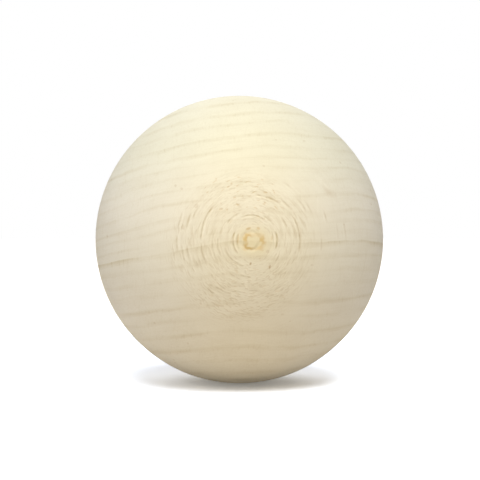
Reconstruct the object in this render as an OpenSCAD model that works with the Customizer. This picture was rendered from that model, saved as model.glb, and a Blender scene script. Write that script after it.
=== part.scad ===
// Turned wooden ball.
// One piece of hardwood, turned between centres: the lathe axis and the wood's
// fibres both run along Y, so each pole (at -Y and at +Y) shows end grain and
// keeps the shallow burnished ring that the cup of the lathe pressed into it.
// The origin is the centre of the ball and +Z is up.

/* [Ball] */
// Diameter of the ball
ball_d = 50; // [30:0.5:100]

/* [Pole rings] */
// Outer diameter of the burnished ring at each pole
ring_outer_d = 3.6; // [3.2:0.1:8]
// Diameter of the untouched wood inside the ring
ring_inner_d = 2; // [1:0.1:2.8]
// Depth of the ring below the surface of the ball
ring_depth = 0.08; // [0.04:0.01:0.3]

/* [Hidden] */

$fn = 180;
ball_r = ball_d / 2;
ring_outer_r = ring_outer_d / 2;
ring_inner_r = ring_inner_d / 2;
ring_mid_r = (ring_outer_r + ring_inner_r) / 2;
// How far the cutting profile's flanks run on past the lips of the ring
past_lip = ring_inner_r / 2;
// How far the cutting profile stands above the pole, so that it clears the ball
cut_above = 1;

// Height of the ball's surface over its centre, at a distance from the lathe axis
function surface_height(from_axis) = sqrt(ball_r * ball_r - from_axis * from_axis);

// Height of the ring's deepest line
ring_floor = surface_height(ring_mid_r) - ring_depth;

// Height of the straight flank that climbs from the deepest line through a lip
function flank_height(from_axis, lip_r) =
    ring_floor
    + (surface_height(lip_r) - ring_floor) * (from_axis - ring_mid_r) / (lip_r - ring_mid_r);

// Half section of the ring's cut: a shallow V with its lips on the ball's surface
module ring_profile() {
    inner_x = ring_inner_r - past_lip;
    outer_x = ring_outer_r + past_lip;
    polygon([
        [inner_x, flank_height(inner_x, ring_inner_r)],
        [ring_mid_r, ring_floor],
        [outer_x, flank_height(outer_x, ring_outer_r)],
        [outer_x, ball_r + cut_above],
        [inner_x, ball_r + cut_above]
    ]);
}

// The ball with its axis upright, as it is turned
module turned_ball() {
    difference() {
        sphere(d = ball_d);
        for (flip = [0, 1])
            mirror([0, 0, flip])
                rotate_extrude()
                    ring_profile();
    }
}

// The ball as it lies, with the lathe axis along Y
module ball() {
    color("burlywood")
        rotate([90, 0, 0])
            turned_ball();
}

ball();
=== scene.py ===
"""Looks of the turned wooden ball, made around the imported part.

The ball is one block of pale hardwood, turned between centres. Its lathe axis and its
fibres run along Y, so the two poles at -Y and +Y show end grain, with the tool's marks
round them, and the belt between shows long grain. Patterns are worked out in millimetres
from the centre of the ball.
"""

import math
import random

import bpy
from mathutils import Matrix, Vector


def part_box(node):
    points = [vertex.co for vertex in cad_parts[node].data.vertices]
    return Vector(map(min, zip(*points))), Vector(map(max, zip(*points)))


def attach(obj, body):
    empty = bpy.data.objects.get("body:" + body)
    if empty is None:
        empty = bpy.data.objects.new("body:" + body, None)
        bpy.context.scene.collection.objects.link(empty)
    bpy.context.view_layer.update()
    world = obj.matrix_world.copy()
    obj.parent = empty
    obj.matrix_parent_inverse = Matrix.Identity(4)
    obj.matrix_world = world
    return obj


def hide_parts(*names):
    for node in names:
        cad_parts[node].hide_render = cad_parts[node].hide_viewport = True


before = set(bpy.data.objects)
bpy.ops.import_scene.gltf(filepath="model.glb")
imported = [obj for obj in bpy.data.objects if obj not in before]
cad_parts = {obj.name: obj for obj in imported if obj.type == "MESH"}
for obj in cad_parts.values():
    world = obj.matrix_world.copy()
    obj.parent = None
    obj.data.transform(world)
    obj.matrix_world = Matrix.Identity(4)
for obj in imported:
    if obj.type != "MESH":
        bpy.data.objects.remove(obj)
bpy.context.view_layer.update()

# ------------------------------------------------------------------ sizes, in millimetres

MM = 0.001
BALL_LOW, BALL_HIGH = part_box("ball")
BALL_R = (BALL_HIGH.z - BALL_LOW.z) / 2 / MM

# The burnished ring at each pole, as the solid has it
RING_INNER_R = 1.0
RING_OUTER_R = 1.8
RING_DEPTH = 0.08

# The browned wood on it: its middle's place across and up, half width and half height, how
# square it is (2 is an ellipse), and where it is pressed hardest (angle, 0 is right and 90 is
# up, and strength)
BURNISH_MIDDLE = (0.5, -0.1)
BURNISH_HALF_WIDTH = 1.35
BURNISH_HALF_HEIGHT = 1.1
BURNISH_SQUARENESS = 4.5
BURNISH_SPOTS = (
    (142, 0.75),
    (180, 0.20),
    (8, 0.65),
    (232, 0.80),
    (300, 0.35),
    (60, 0.15),
)

# Mesh of the ball: segments round the lathe axis, rows from pole to pole, and how much
# closer together the rows are at the poles than on the belt (0 is even)
SEGMENTS = 384
ROWS = 256
POLE_CROWDING = 0.72

# The tool's marks fade out between these distances from the middle of the marked cap,
# which lies a little off the axis
MARKS_MIDDLE = (-1.5, -1.1)
MARKS_FULL_R = 9.6
MARKS_END_R = 13.0
TOOL_LINE_DEPTH = 0.02
TORN_DEPTH = 0.012

# Growth rings: where the plainest one crosses the lathe axis, how far apart the rings lie above
# and below it, how uneven the years were (as a share of that), and how far the rings go on
PLAINEST_RING = 0.0
RING_SPACING_ABOVE = 1.9
RING_SPACING_BELOW = 2.2
RING_UNEVENNESS = 0.25
RING_SEED = 4
GROWTH_REACH = 28.0
# Darkness of the plainest ring's line and how far it fades below and above; then the least and
# most darkness of the others, and their fades as shares of the spacing
PLAINEST_DARKNESS = 1.0
PLAINEST_FADES = (0.95, 0.20)
RING_DARKNESS = (0.30, 0.80)
RING_FADE_BELOW = 0.27
RING_FADE_ABOVE_UPPER = 0.16
RING_FADE_ABOVE_LOWER = 0.25

# How the growth layers bend as they cross the ball, in millimetres at its edge: how far they
# rise to the right, how far they fall away at both sides, and how much more they do at the top
LAYER_RISE = 2.0
LAYER_BOW = 3.0
LAYER_BOW_AT_TOP = 1.0
# How far they dip just right of the axis, and how far they come up again at the far right
LAYER_DIP = 0.7
LAYER_LIFT = 1.0

# Lines where the tool dug in on the front cap: distance from the lathe axis, the angles
# that the line runs between (0 is right, 90 is up), and strength
TOOL_LINES = (
    (1.9, 52, 64, 0.50),
    (1.9, 94, 110, 0.50),
    (2.1, 150, 212, 0.60),
    (2.7, 152, 222, 0.95),
    (3.5, -4, 20, 0.35),
    (3.95, 60, 110, 0.80),
    (4.1, -15, 19, 1.00),
    (4.1, 196, 252, 0.60),
    (4.4, 36, 62, 0.80),
    (4.6, 114, 139, 0.65),
    (5.1, 176, 206, 0.50),
    (5.5, 255, 268, 0.70),
    (5.9, 160, 202, 0.60),
    (6.0, 24, 34, 0.70),
    (6.9, 4, 24, 0.50),
    (7.3, 55, 80, 0.90),
    (7.6, 186, 206, 0.65),
    (7.7, -10, 24, 0.90),
    (7.7, 140, 176, 0.85),
    (8.0, 40, 50, 0.80),
    (8.8, 236, 246, 0.50),
    (9.5, 146, 156, 0.55),
    (9.8, 186, 195, 0.60),
    (9.8, 226, 240, 0.50),
    (9.9, 30, 37, 0.45),
    (10.0, 156, 166, 0.50),
    (10.5, 50, 56, 0.40),
    (10.6, 26, 33, 0.40),
    (10.6, 186, 196, 0.60),
    (11.3, 161, 167, 0.65),
    (11.3, 178, 185, 0.65),
    (11.3, -4, -2, 0.45),
    (12.6, 17, 19, 0.45),
    (14.2, 5, 7, 0.40),
    (15.6, 5, 7, 0.40),
)

# Small marks on the front: place across and up, turn in degrees, half length, half width
# and strength
SMALL_MARKS = (
    (13.0, 7.5, -20, 1.4, 0.70, 0.14),
    (12.5, 8.0, -45, 1.5, 0.40, 0.13),
    (0.0, -3.5, 60, 0.28, 0.18, 0.85),
    (3.0, -4.0, 80, 0.36, 0.18, 0.70),
)
# Faint dark specks, scattered over the whole ball: the size of their pattern, how rare they are
# (0 to 1) and their strength
SPECK_PITCH = 1.1
SPECK_RARITY = 0.82
SPECK_STRENGTH = 0.25
# Browned specks by the ring, in the same order
BROWN_SPECKS = (
    (-0.35, 1.9, 20, 0.50, 0.24, 0.60),
    (1.2, 1.95, -30, 0.34, 0.24, 0.55),
    (-1.95, 0.3, 85, 0.90, 0.16, 0.45),
    (3.3, 0.5, 80, 0.50, 0.18, 0.35),
)
# Pale streaks, where a splinter was lifted, in the same order
PALE_STREAKS = (
    (11.6, 9.3, -46, 1.9, 0.40, 0.25),
    (10.8, 5.6, 88, 1.4, 0.25, 0.20),
    (-0.6, -6.7, 88, 0.8, 0.30, 0.45),
)

# How far the growth layers wave, in long waves and in short ones
LAYER_LONG_WAVE = 1.0
LAYER_SHORT_WAVE = 0.4

# A tool line's half width, how far inside it its burr lies, how far it strays from a true
# circle, and the degrees over which its ends fade
LINE_HALF_WIDTH = 0.23
BURR_INSIDE = 0.30
LINE_STRAY = 0.30
LINE_END_FADE = 5.0

# Fibres and ray flecks: width, length along the fibres and, for a fleck, height
FIBRE_WIDTH = 0.22
FIBRE_LENGTH = 4.0
FLECK_WIDTH = 0.28
FLECK_LENGTH = 1.2
FLECK_HEIGHT = 1.6

# How much each thing colours the wood (0 to 1). What depends on the place has a share
# everywhere, and more on the belt or in the dark of a ring
FIBRE_SHARE = 0.10
FIBRE_BELT_SHARE = 0.12
FLECK_SHARE = 0.03
FLECK_BELT_SHARE = 0.10
FLECK_RING_SHARE = 0.6
# The dug strokes, tool lines, torn end grain and feed rings darken the wood: partly the torn
# wood's own darker tone, partly painted shade in their grooves
DUG_TONE_AND_SHADE_SHARE = 0.75
LINE_TONE_AND_SHADE_SHARE = 0.62
TORN_SHARE = 0.16
FEED_SHARE = 0.15
# Painted highlights on the raised strokes and on the burrs beside the tool lines
RAISED_HIGHLIGHT_SHARE = 0.9
BURR_HIGHLIGHT_SHARE = 0.7
PIT_SHARE = 0.55

# How far each thing stands out or in, as bump, in millimetres
MARK_BUMP = 0.012
PIT_BUMP = 0.02
STREAK_BUMP = 0.01
TORN_BUMP = 0.006
FIBRE_BUMP = 0.003
FLECK_BUMP = 0.004
FEED_BUMP = 0.004

# Roughness of the bare wood, how much less it is where browned and along a fibre, and how
# much more where it is dug
WOOD_ROUGHNESS = 0.66
BROWN_SMOOTHER = 0.16
FIBRE_SMOOTHER = 0.08
DUG_ROUGHER = 0.10

# Colours, linear, and tints that multiply them
PALE_WOOD = (0.845, 0.797, 0.668)
YELLOW_WOOD = (0.868, 0.792, 0.606)
# Painted reflection: the two sides are made paler and bluer, as where the white surroundings
# reflect at the edges
SIDE_REFLECTION_TINT = (1.03, 1.05, 1.12)
# Painted highlight colour: the top is tinted greener and less yellow, as its highlight looks
TOP_HIGHLIGHT_TINT = (0.960, 0.985, 0.950)
# Painted tint of the light under the ball: a little bluer towards the bottom
BOTTOM_LIGHT_TINT = (1.000, 1.000, 1.035)
MOTTLE_TINT = (0.92, 0.90, 0.86)
RING_LINE_TINT = (0.86, 0.82, 0.73)
FIBRE_TINT = (0.88, 0.85, 0.80)
FLECK_TINT = (0.88, 0.85, 0.78)
# Partly the darker tone of the torn wood, partly painted shade in the grooves
TOOL_MARK_TONE_AND_SHADE_TINT = (0.70, 0.62, 0.48)
# Painted highlight on the raised strokes and burrs; the pale streaks take it too
HIGHLIGHT_AND_PALE_STREAK_TINT = (1.10, 1.11, 1.14)
PIT_TINT = (0.78, 0.62, 0.38)
BURNISH_TINT = (0.86, 0.72, 0.49)
BURNISH_GLOW_TINT = (0.97, 0.93, 0.80)
MARK_TINT = (0.66, 0.54, 0.38)


# ------------------------------------------------------------------ numbers over a surface

def plug(tree, socket, value):
    """Sets a socket to a plain value, or wires a field into it."""
    if isinstance(value, Field):
        tree.links.new(value.socket, socket)
    else:
        socket.default_value = value


class Field:
    """A number that changes over the surface. Arithmetic on it adds nodes to its tree."""

    def __init__(self, tree, socket):
        self.tree = tree
        self.socket = socket

    def worked(self, operation, *terms):
        node = self.tree.nodes.new("ShaderNodeMath")
        node.operation = operation
        for socket, term in zip(node.inputs, terms):
            plug(self.tree, socket, term)
        return Field(self.tree, node.outputs[0])

    def __add__(self, other):
        return self.worked("ADD", self, other)

    def __radd__(self, other):
        return self.worked("ADD", other, self)

    def __sub__(self, other):
        return self.worked("SUBTRACT", self, other)

    def __rsub__(self, other):
        return self.worked("SUBTRACT", other, self)

    def __mul__(self, other):
        return self.worked("MULTIPLY", self, other)

    def __rmul__(self, other):
        return self.worked("MULTIPLY", other, self)

    def __truediv__(self, other):
        return self.worked("DIVIDE", self, other)

    def __neg__(self):
        return self.worked("MULTIPLY", self, -1.0)

    def size(self):
        return self.worked("ABSOLUTE", self)

    def root(self):
        return self.worked("SQRT", self)

    def power(self, exponent):
        return self.worked("POWER", self, exponent)

    def at_most(self, other):
        return self.worked("MINIMUM", self, other)

    def at_least(self, other):
        return self.worked("MAXIMUM", self, other)

    def rising(self, low, high):
        """0 below low, 1 above high, and a soft step between."""
        node = self.tree.nodes.new("ShaderNodeMapRange")
        node.interpolation_type = "SMOOTHSTEP"
        node.clamp = False
        for socket, term in zip(node.inputs, (self, low, high, 0.0, 1.0)):
            plug(self.tree, socket, term)
        return Field(self.tree, node.outputs[0])

    def falling(self, low, high):
        """1 below low, 0 above high, and a soft step between."""
        return 1.0 - self.rising(low, high)

    def near(self, middle, reach):
        """1 at middle, falling softly to 0 at reach on either side."""
        return (self - middle).size().falling(0.0, reach)


def curve(value, points):
    """Reads a curve, with straight stretches between its points, at value (0 to 1)."""
    node = value.tree.nodes.new("ShaderNodeFloatCurve")
    drawn = node.mapping.curves[0]
    drawn.points[0].location = points[0]
    drawn.points[1].location = points[-1]
    for point in points[1:-1]:
        drawn.points.new(*point)
    for point in drawn.points:
        point.handle_type = "VECTOR"
    node.mapping.update()
    plug(value.tree, node.inputs["Value"], value)
    return Field(value.tree, node.outputs[0])


def speckle(x, y, z, seed, detail=0.0):
    """Smooth random number, about 0.5, that changes over one unit of each of x, y and z."""
    tree = next(term.tree for term in (x, y, z) if isinstance(term, Field))
    place = tree.nodes.new("ShaderNodeCombineXYZ")
    for socket, term in zip(place.inputs, (x, y + 17.3 * seed, z)):
        plug(tree, socket, term)
    node = tree.nodes.new("ShaderNodeTexNoise")
    node.inputs["Scale"].default_value = 1.0
    node.inputs["Detail"].default_value = detail
    tree.links.new(place.outputs[0], node.inputs["Vector"])
    return Field(tree, node.outputs[0])


class Place:
    """A point on the ball, in millimetres from its centre."""

    def __init__(self, tree, position):
        split = tree.nodes.new("ShaderNodeSeparateXYZ")
        tree.links.new(position, split.inputs[0])
        metres = [Field(tree, output) for output in split.outputs]
        self.x, self.y, self.z = (value / MM for value in metres)
        self.from_axis = (self.x * self.x + self.z * self.z).root()
        # Distance from the nearer pole, measured along the surface
        self.from_pole = BALL_R * self.x.worked("ARCTAN2", self.from_axis, self.y.size())
        self.front = self.y.falling(-1.0, 1.0)


def in_spots(at, spots):
    """Soft elliptical spots, 0 to 1, one for each row of SMALL_MARKS or a table like it."""
    total = None
    for x, z, turn, half_length, half_width, strength in spots:
        cos, sin = math.cos(math.radians(turn)), math.sin(math.radians(turn))
        along = ((at.x - x) * cos + (at.z - z) * sin) / half_length
        across = ((at.z - z) * cos - (at.x - x) * sin) / half_width
        spot = (along * along + across * across).falling(0.0, 1.3) * strength
        total = spot if total is None else total + spot
    return total * at.front


def towards(across, up, out, angle, spread, soft):
    """1 where a point lies within spread of an angle round the axis, falling to 0 over soft."""
    facing = (across * math.cos(math.radians(angle)) + up * math.sin(math.radians(angle))) / out
    outer = math.cos(math.radians(min(spread + soft, 180.0)))
    inner = math.cos(math.radians(max(spread - soft, 0.0)))
    return facing.rising(outer, inner)


# ------------------------------------------------------------------ growth rings

def growth_layer(at):
    """Height of the growth layer through a point, read where it crosses the lathe axis."""
    x, z = at.x / BALL_R, at.z / BALL_R
    bend = x * x * (LAYER_BOW + LAYER_BOW_AT_TOP * z) - LAYER_RISE * x
    dip = LAYER_DIP * at.x.rising(-2.0, 8.0) * at.z.falling(3.0, 13.0)
    lift = LAYER_LIFT * at.x.rising(8.0, 23.0)
    slow = speckle(at.x / 11.0, at.y / 60.0, at.z / 9.0, seed=1) - 0.5
    quick = speckle(at.x / 2.5, at.y / 20.0, at.z / 2.0, seed=2, detail=1.0) - 0.5
    return at.z + bend + dip - lift + LAYER_LONG_WAVE * slow + LAYER_SHORT_WAVE * quick


def growth_rings():
    """A row for each ring, from the lowest up: height, darkness, and its fades below and above."""
    years = random.Random(RING_SEED)
    rows = [(PLAINEST_RING, PLAINEST_DARKNESS, *PLAINEST_FADES)]
    for way, spacing, fade_above in (
        (1, RING_SPACING_ABOVE, RING_FADE_ABOVE_UPPER),
        (-1, RING_SPACING_BELOW, RING_FADE_ABOVE_LOWER),
    ):
        height = PLAINEST_RING
        while abs(height) + 2 * spacing < GROWTH_REACH:
            height += way * spacing * (1 + RING_UNEVENNESS * years.uniform(-1, 1))
            darkness = years.uniform(*RING_DARKNESS)
            rows.append((height, darkness, RING_FADE_BELOW * spacing, fade_above * spacing))
    return sorted(rows)


def ring_darkness(layer):
    """Darkness of the growth rings: a thin dark line for each, fading into the paler wood."""
    def share(height):
        return (height + GROWTH_REACH) / (2 * GROWTH_REACH)
    points = [(0.0, 0.0)]
    for height, darkness, below, above in growth_rings():
        points.append((share(height - below), 0.0))
        points.append((share(height), darkness))
        points.append((share(height + above), 0.0))
    points.append((1.0, 0.0))
    return curve(layer / (2 * GROWTH_REACH) + 0.5, points)


# ------------------------------------------------------------------ the tool's marks

def pole_ring(at):
    """Section of the burnished ring: 0 outside it, 1 at its deepest line."""
    middle = (RING_INNER_R + RING_OUTER_R) / 2
    half_width = (RING_OUTER_R - RING_INNER_R) / 2
    return at.from_axis.near(middle, half_width)


def tool_lines(at):
    """The lines where the tool dug in on the front cap, and the burrs raised inside them."""
    wander = LINE_STRAY * (speckle(at.x / 2.5, at.y / 50.0, at.z / 2.5, seed=3) - 0.5)
    from_axis = at.from_axis + wander
    out = at.from_axis.at_least(0.1)
    dug = None
    raised = None
    for radius, start, end, strength in TOOL_LINES:
        middle, spread = (start + end) / 2, (end - start) / 2
        along = towards(at.x, at.z, out, middle, spread, LINE_END_FADE) * strength
        line = from_axis.near(radius, LINE_HALF_WIDTH) * along
        burr = from_axis.near(radius - BURR_INSIDE, LINE_HALF_WIDTH) * along
        dug = line if dug is None else dug + line
        raised = burr if raised is None else raised + burr
    broken = 0.1 + 1.8 * speckle(at.x / 0.7, at.y / 50.0, at.z / 0.7, seed=17)
    return dug * at.front * broken, raised * at.front * broken


def strokes(at, radius, length, pitch, seed, cover):
    """Short strokes that follow the turning, 0 to 1. A lower cover makes more of them."""
    return speckle(at.x / length, at.z / length, radius / pitch, seed).rising(cover, cover + 0.14)


def cut_marks(at):
    """Random marks of the cut end grain: what is dug in, what is raised, and the open pits."""
    x, z = at.x - MARKS_MIDDLE[0], at.z - MARKS_MIDDLE[1]
    cap = (x * x + z * z).root().falling(MARKS_FULL_R, MARKS_END_R) * at.from_axis.rising(1.9, 3.0)
    side = (at.x.size() / at.from_axis.at_least(0.5)).rising(0.50, 0.90)
    wander = speckle(at.x / 1.3, at.y / 50.0, at.z / 1.3, seed=4) - 0.5
    above = at.z.rising(1.0, 6.0)
    patchy = 0.55 + 0.9 * speckle(at.x / 3.0, at.y / 50.0, at.z / 3.0, seed=18)

    shares = {}
    for kind, step in (("dug", 0.0), ("raised", 0.15)):
        along = at.from_pole + 0.20 * wander + step
        long = strokes(at, along, 1.6, 0.34, seed=5, cover=0.59) * (0.2 + 0.8 * side)
        along = at.from_pole + 0.60 * wander + step
        short = strokes(at, along, 0.65, 0.26, seed=6, cover=0.54) * (1.0 - 0.7 * side)
        shares[kind] = (0.31 * long + 0.40 * short * (1.0 - 0.35 * above)) * cap * patchy
    pits = strokes(at, along, 0.8, 0.36, seed=7, cover=0.66) * cap * (1.0 - side)
    pits = pits * (0.35 + 0.65 * above)
    return shares["dug"], shares["raised"], pits


def torn_patches(at):
    """Soft ripples, wider than the strokes, where the end grain tore a little, 0 to 1."""
    cap = at.from_axis.falling(0.9 * MARKS_FULL_R, MARKS_END_R) * at.from_axis.rising(2.2, 4.0)
    return speckle(at.x / 2.2, at.z / 2.2, at.from_pole / 0.55, seed=20).rising(0.48, 0.72) * cap


# ------------------------------------------------------------------ the ball's mesh

def turned_ball_tree():
    """Geometry nodes that turn the ball: rows of faces crowd towards the poles, and the ring,
    the tool's lines and the torn end grain are cut into the surface."""
    tree = bpy.data.node_groups.new("turned ball", "GeometryNodeTree")
    sockets = {}
    for name, kind, value in (
        ("Radius", "NodeSocketFloat", BALL_R * MM),
        ("Segments", "NodeSocketInt", SEGMENTS),
        ("Rows", "NodeSocketInt", ROWS),
        ("Pole Crowding", "NodeSocketFloat", POLE_CROWDING),
        ("Ring Depth", "NodeSocketFloat", RING_DEPTH),
        ("Tool Line Depth", "NodeSocketFloat", TOOL_LINE_DEPTH),
        ("Torn Depth", "NodeSocketFloat", TORN_DEPTH),
        ("Wood", "NodeSocketMaterial", None),
    ):
        socket = tree.interface.new_socket(name, in_out="INPUT", socket_type=kind)
        if value is not None:
            socket.default_value = value
        sockets[name] = socket.identifier
    tree.interface.new_socket("Geometry", in_out="OUTPUT", socket_type="NodeSocketGeometry")
    given = tree.nodes.new("NodeGroupInput").outputs
    link = tree.links.new

    sphere = tree.nodes.new("GeometryNodeMeshUVSphere")
    link(given["Segments"], sphere.inputs["Segments"])
    link(given["Rows"], sphere.inputs["Rings"])
    sphere.inputs["Radius"].default_value = 1.0

    # Crowd the rows: the angle from the pole loses a share of the sine of twice itself
    split = tree.nodes.new("ShaderNodeSeparateXYZ")
    link(tree.nodes.new("GeometryNodeInputPosition").outputs[0], split.inputs[0])
    across, up, along = (Field(tree, output) for output in split.outputs)
    angle = along.at_least(-1.0).at_most(1.0).worked("ARCCOSINE", along)
    crowding = Field(tree, given["Pole Crowding"])
    angle = angle - crowding * 0.5 * angle.worked("SINE", angle * 2.0)
    flat = (across * across + up * up).root().at_least(1e-9)
    spread = angle.worked("SINE", angle) / flat
    radius = Field(tree, given["Radius"])

    # Lay the pole that was upright along -Y
    aim = tree.nodes.new("ShaderNodeCombineXYZ")
    sideways, forwards, upwards = across * spread, -angle.worked("COSINE", angle), up * spread
    for socket, term in zip(aim.inputs, (sideways, forwards, upwards)):
        plug(tree, socket, term)
    smooth = tree.nodes.new("ShaderNodeVectorMath")
    smooth.operation = "SCALE"
    link(aim.outputs[0], smooth.inputs[0])
    plug(tree, smooth.inputs["Scale"], radius)

    at = Place(tree, smooth.outputs[0])
    dug, raised, pits = cut_marks(at)
    line, burr = tool_lines(at)
    depth = pole_ring(at) * Field(tree, given["Ring Depth"])
    depth = depth + (line - 0.6 * burr) * Field(tree, given["Tool Line Depth"])
    depth = depth + (dug + pits - raised) * Field(tree, given["Torn Depth"])
    cut = tree.nodes.new("ShaderNodeVectorMath")
    cut.operation = "SCALE"
    link(aim.outputs[0], cut.inputs[0])
    plug(tree, cut.inputs["Scale"], radius - depth * MM)

    move = tree.nodes.new("GeometryNodeSetPosition")
    link(sphere.outputs["Mesh"], move.inputs["Geometry"])
    link(cut.outputs[0], move.inputs["Position"])
    shade = tree.nodes.new("GeometryNodeSetShadeSmooth")
    link(move.outputs[0], shade.inputs[0])
    realize = tree.nodes.new("GeometryNodeRealizeInstances")
    link(shade.outputs[0], realize.inputs[0])
    finish = tree.nodes.new("GeometryNodeSetMaterial")
    link(realize.outputs[0], finish.inputs["Geometry"])
    link(given["Wood"], finish.inputs["Material"])
    link(finish.outputs[0], tree.nodes.new("NodeGroupOutput").inputs[0])
    return tree, sockets


def turned_ball(wood):
    """The ball as one plain mesh, made by its geometry nodes."""
    tree, sockets = turned_ball_tree()
    blank = bpy.data.objects.new("ball_blank", bpy.data.meshes.new("ball_blank"))
    bpy.context.scene.collection.objects.link(blank)
    turning = blank.modifiers.new("turning", "NODES")
    turning.node_group = tree
    turning[sockets["Wood"]] = wood
    bpy.context.view_layer.update()
    graph = bpy.context.evaluated_depsgraph_get()
    mesh = bpy.data.meshes.new_from_object(blank.evaluated_get(graph))
    bpy.data.objects.remove(blank)
    mesh.name = "turned_ball"
    piece = bpy.data.objects.new("turned_ball", mesh)
    bpy.context.scene.collection.objects.link(piece)
    return piece


# ------------------------------------------------------------------ the wood

def tinted(tree, colour, amount, tint):
    """Multiplies a colour by a tint, as far as amount says."""
    node = tree.nodes.new("ShaderNodeMix")
    node.data_type = "RGBA"
    node.blend_type = "MULTIPLY"
    node.clamp_factor = True
    plug(tree, node.inputs[0], amount)
    tree.links.new(colour, node.inputs[6])
    node.inputs[7].default_value = (*tint, 1.0)
    return node.outputs[2]


def blended(tree, amount, first, second):
    """Goes from the first plain colour to the second as amount goes from 0 to 1."""
    node = tree.nodes.new("ShaderNodeMix")
    node.data_type = "RGBA"
    node.clamp_factor = True
    plug(tree, node.inputs[0], amount)
    node.inputs[6].default_value = (*first, 1.0)
    node.inputs[7].default_value = (*second, 1.0)
    return node.outputs[2]


def burnished(at):
    """Where the wood is browned round each pole, 0 to 1, and the faint glow round that."""
    across = (at.x - BURNISH_MIDDLE[0]) / BURNISH_HALF_WIDTH
    up = (at.z - BURNISH_MIDDLE[1]) / BURNISH_HALF_HEIGHT
    out = (across * across + up * up).root().at_least(0.05)
    power = BURNISH_SQUARENESS
    square = (across.size().power(power) + up.size().power(power)).power(1.0 / power)
    pressed = 0.25
    for angle, strength in BURNISH_SPOTS:
        pressed = pressed + towards(across, up, out, angle, 20.0, 20.0) * strength
    uneven = speckle(at.x / 0.55, at.y, at.z / 0.55, seed=13)
    edge = square + 0.5 * (uneven - 0.5)
    ring = edge.rising(0.55, 0.92) * edge.falling(1.02, 1.40)
    return (ring * pressed * (0.65 + 0.75 * uneven)).at_most(1.0), out.falling(0.6, 3.2)


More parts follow.
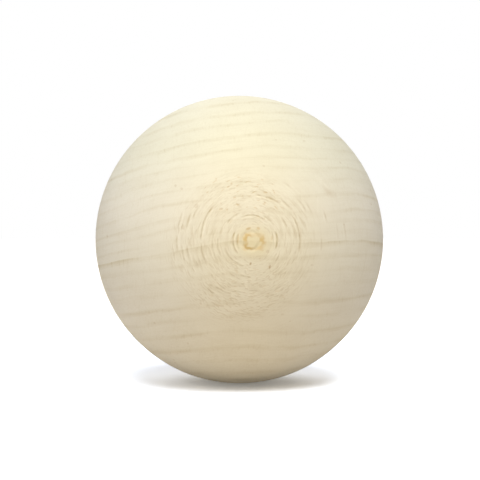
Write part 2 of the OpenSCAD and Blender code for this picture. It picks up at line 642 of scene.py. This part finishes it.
def turned_hardwood():
    """Pale close-grained hardwood, turned and left bare."""
    material = bpy.data.materials.new("turned_hardwood")
    material.use_nodes = True
    tree = material.node_tree
    shader = tree.nodes["Principled BSDF"]
    coordinates = tree.nodes.new("ShaderNodeTexCoord")
    at = Place(tree, coordinates.outputs["Object"])
    layer = growth_layer(at)
    belt = at.from_axis.rising(9.0, 20.0)

    # Yellower over the poles, the top and the bottom than on the two sides
    yellow = (at.x * at.x + 0.2 * (at.z * at.z)).root().falling(4.0, 17.0)
    colour = blended(tree, yellow, PALE_WOOD, YELLOW_WOOD)
    # Painted reflection: paler and bluer on the two sides
    colour = tinted(tree, colour, at.x.size().rising(14.0, 25.0), SIDE_REFLECTION_TINT)
    # Painted highlight colour on the top
    colour = tinted(tree, colour, at.z.rising(4.0, 16.0), TOP_HIGHLIGHT_TINT)
    # Painted tint of the light under the ball: bluer towards the bottom
    colour = tinted(tree, colour, at.z.falling(-12.0, -2.0), BOTTOM_LIGHT_TINT)
    mottle = speckle(at.x / 6.0, at.y / 22.0, layer / 2.6, seed=16, detail=2.0).rising(0.30, 0.70)
    colour = tinted(tree, colour, 0.30 * mottle, MOTTLE_TINT)

    # Growth rings, coming and going along their length, plainest on the long grain
    patchy = speckle(at.x / 4.5, at.y / 14.0, layer / 1.5, seed=11, detail=1.0).rising(0.30, 0.70)
    rings = ring_darkness(layer) * (0.60 + 0.20 * belt) * (0.30 + 1.0 * patchy)
    lineation = speckle(at.x / 7.0, at.y / 30.0, layer / 0.35, seed=12, detail=1.0) - 0.5
    colour = tinted(tree, colour, (rings + 0.48 * lineation).at_least(0.0), RING_LINE_TINT)

    # Fibres along Y, which are fine streaks on the belt and dots on the end grain
    width, length = FIBRE_WIDTH, FIBRE_LENGTH
    fibre = speckle(at.x / width, at.y / length, at.z / width, seed=14, detail=1.0)
    share = FIBRE_SHARE + FIBRE_BELT_SHARE * belt
    colour = tinted(tree, colour, fibre.rising(0.35, 0.75) * share, FIBRE_TINT)
    # Ray flecks, which stand upright on the end grain and on the two sides
    fleck = speckle(at.x / FLECK_WIDTH, at.y / FLECK_LENGTH, at.z / FLECK_HEIGHT, seed=15)
    fleck = fleck.rising(0.60, 0.74)
    share = FLECK_SHARE + FLECK_BELT_SHARE * belt + FLECK_RING_SHARE * rings
    colour = tinted(tree, colour, fleck * share, FLECK_TINT)

    # The tool's marks
    dug, raised, pits = cut_marks(at)
    line, burr = tool_lines(at)
    torn = torn_patches(at)
    feed = speckle(at.x / 14.0, at.z / 14.0, at.from_pole / 0.30, seed=19) - 0.5
    # Darker in the dug strokes, tool lines, torn end grain and feed rings: partly the wood's own
    # tone, partly painted shade in the grooves
    dark = DUG_TONE_AND_SHADE_SHARE * dug + LINE_TONE_AND_SHADE_SHARE * line + TORN_SHARE * torn
    dark = dark + FEED_SHARE * feed.at_least(0.0)
    colour = tinted(tree, colour, dark, TOOL_MARK_TONE_AND_SHADE_TINT)
    # Painted highlights along the raised strokes and the burrs
    colour = tinted(tree, colour, RAISED_HIGHLIGHT_SHARE * raised + BURR_HIGHLIGHT_SHARE * burr, HIGHLIGHT_AND_PALE_STREAK_TINT)
    colour = tinted(tree, colour, PIT_SHARE * pits, PIT_TINT)

    # The burnished ring and the small marks
    brown, glow = burnished(at)
    colour = tinted(tree, colour, brown, BURNISH_TINT)
    colour = tinted(tree, colour, glow, BURNISH_GLOW_TINT)
    colour = tinted(tree, colour, in_spots(at, SMALL_MARKS), MARK_TINT)
    colour = tinted(tree, colour, in_spots(at, BROWN_SPECKS), PIT_TINT)
    specks = speckle(at.x / SPECK_PITCH, at.y / SPECK_PITCH, at.z / SPECK_PITCH, seed=21)
    specks = specks.rising(SPECK_RARITY, SPECK_RARITY + 0.05)
    colour = tinted(tree, colour, SPECK_STRENGTH * specks, MARK_TINT)
    # The pale streaks take the same tint as the painted highlights
    pale = in_spots(at, PALE_STREAKS)
    colour = tinted(tree, colour, pale, HIGHLIGHT_AND_PALE_STREAK_TINT)
    tree.links.new(colour, shader.inputs["Base Color"])

    height = MARK_BUMP * (raised + burr - dug - line) - PIT_BUMP * pits
    height = height + STREAK_BUMP * pale - TORN_BUMP * torn
    height = height - FIBRE_BUMP * fibre - FLECK_BUMP * fleck + FEED_BUMP * feed
    bump = tree.nodes.new("ShaderNodeBump")
    bump.inputs["Strength"].default_value = 1.0
    bump.inputs["Distance"].default_value = MM
    plug(tree, bump.inputs["Height"], height)
    tree.links.new(bump.outputs[0], shader.inputs["Normal"])
    roughness = WOOD_ROUGHNESS - BROWN_SMOOTHER * brown
    roughness = roughness - FIBRE_SMOOTHER * (fibre - 0.5) + DUG_ROUGHER * dug
    plug(tree, shader.inputs["Roughness"], roughness)
    shader.inputs["Specular IOR Level"].default_value = 0.35
    return material


# ------------------------------------------------------------------ the studio

CAMERA_AZIMUTH = -4.0
CAMERA_ELEVATION = 0.5
CAMERA_DISTANCE = 8.0 * BALL_R * MM
CAMERA_LENS = 85.6
CAMERA_AIM = Vector((0.12, 0.0, -0.07)) * MM
FLOOR_HALF = 3.0
# The floor is a lit table, pure white away from the ball: the camera sees its shade and haze,
# and the ball takes its bounce and glow. To the right the camera sees it a little brighter,
# painted light that lifts the ball's cast shadow there
FLOOR_BOUNCE = (0.66, 0.61, 0.52)
FLOOR_SHADE = (1.71, 1.83, 2.06)
FLOOR_RIGHT_PAINTED_LIGHT = (1.20, 1.20, 1.20)
FLOOR_GLOW = 0.09
FLOOR_HAZE = 0.03
FLOOR_WHITE_FROM = 2.4 * BALL_R * MM
FLOOR_WHITE_TO = 8.0 * BALL_R * MM
SKY_COLOUR = (0.20, 0.19, 0.18)
WHITE = (1.0, 1.0, 1.0)
# Soft round lamps: name, angle round from the front (left is below 0), height angle, watts
LAMP_SIZE = 0.65
LAMP_DISTANCE = 0.8
LAMPS = (
    ("key", 0, 60, 5.95),
    ("fill", -45, 25, 1.0),
    ("back", 180, 40, 1.5),
)


def camera_ray(tree):
    """1 where the camera looks straight at a surface, 0 where light bounces off it."""
    return Field(tree, tree.nodes.new("ShaderNodeLightPath").outputs["Is Camera Ray"])


def pale_floor():
    ends = (-FLOOR_HALF, FLOOR_HALF)
    corners = [(x, y, BALL_LOW.z) for x in ends for y in ends]
    mesh = bpy.data.meshes.new("floor")
    mesh.from_pydata(corners, [], [(0, 2, 3, 1)])
    floor = bpy.data.objects.new("floor", mesh)
    bpy.context.scene.collection.objects.link(floor)
    paint = bpy.data.materials.new("lit_table")
    paint.use_nodes = True
    tree = paint.node_tree
    tree.nodes.remove(tree.nodes["Principled BSDF"])
    coordinates = tree.nodes.new("ShaderNodeTexCoord")
    away = tree.nodes.new("ShaderNodeVectorMath")
    away.operation = "LENGTH"
    tree.links.new(coordinates.outputs["Object"], away.inputs[0])
    far = Field(tree, away.outputs["Value"]).rising(FLOOR_WHITE_FROM, FLOOR_WHITE_TO)
    seen = camera_ray(tree)
    matte = tree.nodes.new("ShaderNodeBsdfDiffuse")
    shade = blended(tree, seen * (1.0 - far), FLOOR_BOUNCE, FLOOR_SHADE)
    split = tree.nodes.new("ShaderNodeSeparateXYZ")
    tree.links.new(coordinates.outputs["Object"], split.inputs[0])
    # Painted light: to the right the camera sees the floor brighter, lifting the ball's cast
    # shadow
    right = Field(tree, split.outputs["X"]).rising(0.0, 0.8 * BALL_R * MM)
    shade = tinted(tree, shade, right * seen, FLOOR_RIGHT_PAINTED_LIGHT)
    tree.links.new(shade, matte.inputs["Color"])
    glow = tree.nodes.new("ShaderNodeEmission")
    strength = FLOOR_GLOW * (1.0 - seen) + (FLOOR_HAZE + (1.0 - FLOOR_HAZE) * far) * seen
    plug(tree, glow.inputs["Strength"], strength)
    both = tree.nodes.new("ShaderNodeAddShader")
    tree.links.new(matte.outputs[0], both.inputs[0])
    tree.links.new(glow.outputs[0], both.inputs[1])
    tree.links.new(both.outputs[0], tree.nodes["Material Output"].inputs["Surface"])
    mesh.materials.append(paint)


def direction(azimuth, elevation):
    """Points away from the ball: azimuth 0 is the front, at -Y, and 90 is the right, at +X."""
    azimuth, elevation = math.radians(azimuth), math.radians(elevation)
    level = Vector((math.sin(azimuth), -math.cos(azimuth), 0.0)) * math.cos(elevation)
    return level + Vector((0.0, 0.0, math.sin(elevation)))


def aimed(holder, target):
    """Turns a camera or light to face a point."""
    holder.rotation_euler = (target - holder.location).to_track_quat("-Z", "Y").to_euler()


def soft_light():
    world = bpy.data.worlds.new("studio")
    world.use_nodes = True
    tree = world.node_tree
    sky = blended(tree, camera_ray(tree), SKY_COLOUR, WHITE)
    tree.links.new(sky, tree.nodes["Background"].inputs["Color"])
    bpy.context.scene.world = world
    for name, azimuth, elevation, watts in LAMPS:
        lamp = bpy.data.lights.new(name, "AREA")
        lamp.shape = "DISK"
        lamp.size = LAMP_SIZE
        lamp.energy = watts
        holder = bpy.data.objects.new(name, lamp)
        holder.location = LAMP_DISTANCE * direction(azimuth, elevation)
        bpy.context.scene.collection.objects.link(holder)
        aimed(holder, Vector((0.0, 0.0, 0.0)))


def camera():
    data = bpy.data.cameras.new("camera")
    data.lens = CAMERA_LENS
    data.sensor_width = 36.0
    data.clip_start = 0.01
    holder = bpy.data.objects.new("camera", data)
    holder.location = CAMERA_DISTANCE * direction(CAMERA_AZIMUTH, CAMERA_ELEVATION)
    bpy.context.scene.collection.objects.link(holder)
    aimed(holder, CAMERA_AIM)
    bpy.context.scene.camera = holder


# ------------------------------------------------------------------ putting it together

camera()
soft_light()
pale_floor()
bpy.context.scene.view_settings.view_transform = "Standard"

ball = turned_ball(turned_hardwood())
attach(ball, "root")
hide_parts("ball")
